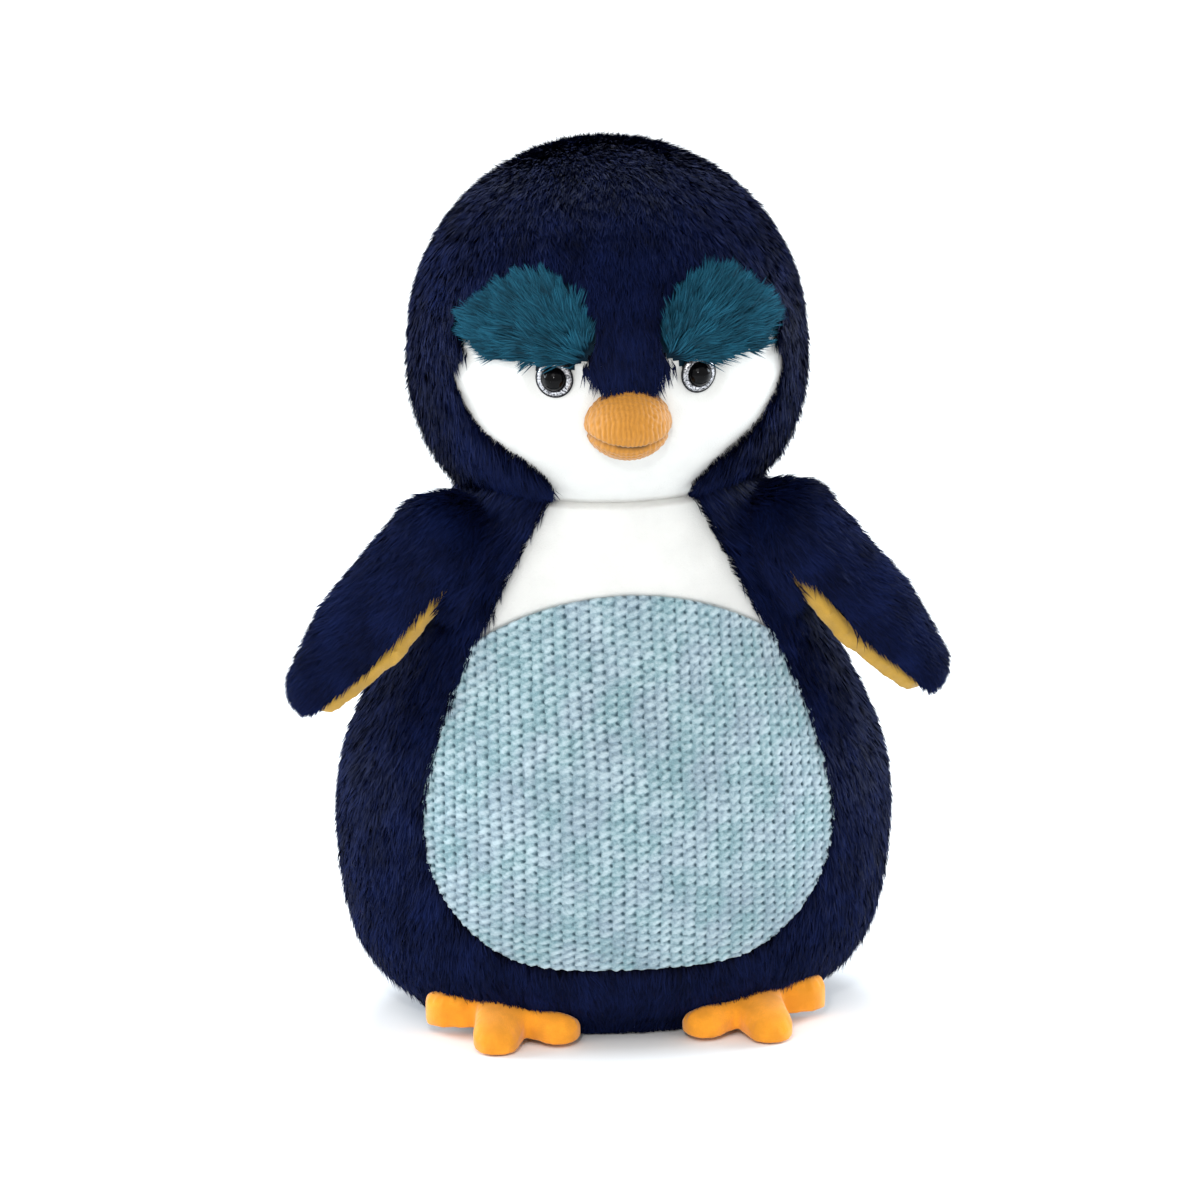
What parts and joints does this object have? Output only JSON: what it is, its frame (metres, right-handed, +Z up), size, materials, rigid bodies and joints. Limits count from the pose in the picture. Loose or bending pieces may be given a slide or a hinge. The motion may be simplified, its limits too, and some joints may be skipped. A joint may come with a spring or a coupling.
{
  "type": "plush penguin",
  "caption": "Standing stuffed penguin with long fur, a knitted belly, two wings, flat three-toed feet and a stuffed beak; head turns and nods, wings and feet lift.",
  "frame": {"origin": "centre of the flat base, on the floor that the toy stands on", "axes": "+Z up, the face looks along -Y, +X is the penguin's own left"},
  "size_m": [0.2038, 0.1448, 0.274],
  "materials": {
    "navy_fur": "long pile fur, matte with silky highlights",
    "teal_fur": "long pile fur, matte with silky highlights",
    "white_velboa": "short pile velboa, matte",
    "belly_knit": "chunky bobble knit, matte, heathered",
    "base_cloth": "woven cloth, matte",
    "ochre_lining": "smooth short pile, matte",
    "orange_felt": "felt, matte",
    "beak_cloth": "satin stitched ribs, soft sheen",
    "eye_black": "polished",
    "eye_glitter": "silver glitter",
    "washer_plastic": "plain moulded",
    "stuffing": "polyester fibre",
    "pouch_cotton": "plain cotton",
    "beans": "plastic pellets",
    "label_satin": "white satin ribbon, blank"
  },
  "bodies": {
    "torso": {"bean_fill": "beans", "bean_pouch": "pouch_cotton", "belly_knit_panel": "belly_knit", "body_back_left": "navy_fur", "body_back_right": "navy_fur", "body_base": "base_cloth", "body_side_left": "navy_fur", "body_side_right": "navy_fur", "body_stuffing": "stuffing", "care_label": "label_satin", "chest_panel": "white_velboa"},
    "neck": {"neck_stuffing": "stuffing"},
    "head": {"beak_lower": "beak_cloth", "beak_stuffing": "stuffing", "beak_upper": "beak_cloth", "brow_patch_left": "teal_fur", "brow_patch_right": "teal_fur", "eye_pupil_left": "eye_black", "eye_pupil_right": "eye_black", "eye_ring_left": "eye_glitter", "eye_ring_right": "eye_glitter", "eye_washer_left": "washer_plastic", "eye_washer_right": "washer_plastic", "face_panel": "white_velboa", "head_back_left": "navy_fur", "head_back_right": "navy_fur", "head_gusset": "navy_fur", "head_side_left": "navy_fur", "head_side_right": "navy_fur", "head_stuffing": "stuffing"},
    "wing_left": {"wing_filling_left": "stuffing", "wing_lining_left": "ochre_lining", "wing_outer_left": "navy_fur"},
    "wing_right": {"wing_filling_right": "stuffing", "wing_lining_right": "ochre_lining", "wing_outer_right": "navy_fur"},
    "foot_left": {"foot_filling_left": "stuffing", "foot_sole_left": "orange_felt", "foot_upper_left": "orange_felt"},
    "foot_right": {"foot_filling_right": "stuffing", "foot_sole_right": "orange_felt", "foot_upper_right": "orange_felt"}
  },
  "joints": [
    {"name": "head_turn", "type": "hinge", "parent": "torso", "child": "neck", "pos_m": [0, 0, 0.213], "axis": [0, 0, 1], "range_deg": [-25, 25], "stiffness_Nm_per_rad": 0.12},
    {"name": "head_nod", "type": "hinge", "parent": "neck", "child": "head", "pos_m": [0, 0, 0.213], "axis": [1, 0, 0], "range_deg": [-10, 12], "stiffness_Nm_per_rad": 0.15},
    {"name": "wing_left_lift", "type": "hinge", "parent": "torso", "child": "wing_left", "pos_m": [0.056, -0.025, 0.156], "axis": [0.5198, -0.7424, 0.4226], "range_deg": [-10, 75], "stiffness_Nm_per_rad": 0.03},
    {"name": "wing_right_lift", "type": "hinge", "parent": "torso", "child": "wing_right", "pos_m": [-0.056, -0.025, 0.156], "axis": [0.5198, 0.7424, -0.4226], "range_deg": [-10, 75], "stiffness_Nm_per_rad": 0.03},
    {"name": "foot_left_lift", "type": "hinge", "parent": "torso", "child": "foot_left", "pos_m": [0.03744, -0.03797, 0.008], "axis": [-0.9397, -0.342, 0], "range_deg": [0, 16], "stiffness_Nm_per_rad": 0.03},
    {"name": "foot_right_lift", "type": "hinge", "parent": "torso", "child": "foot_right", "pos_m": [-0.03744, -0.03797, 0.008], "axis": [-0.9397, 0.342, 0], "range_deg": [0, 16], "stiffness_Nm_per_rad": 0.03}
  ]
}
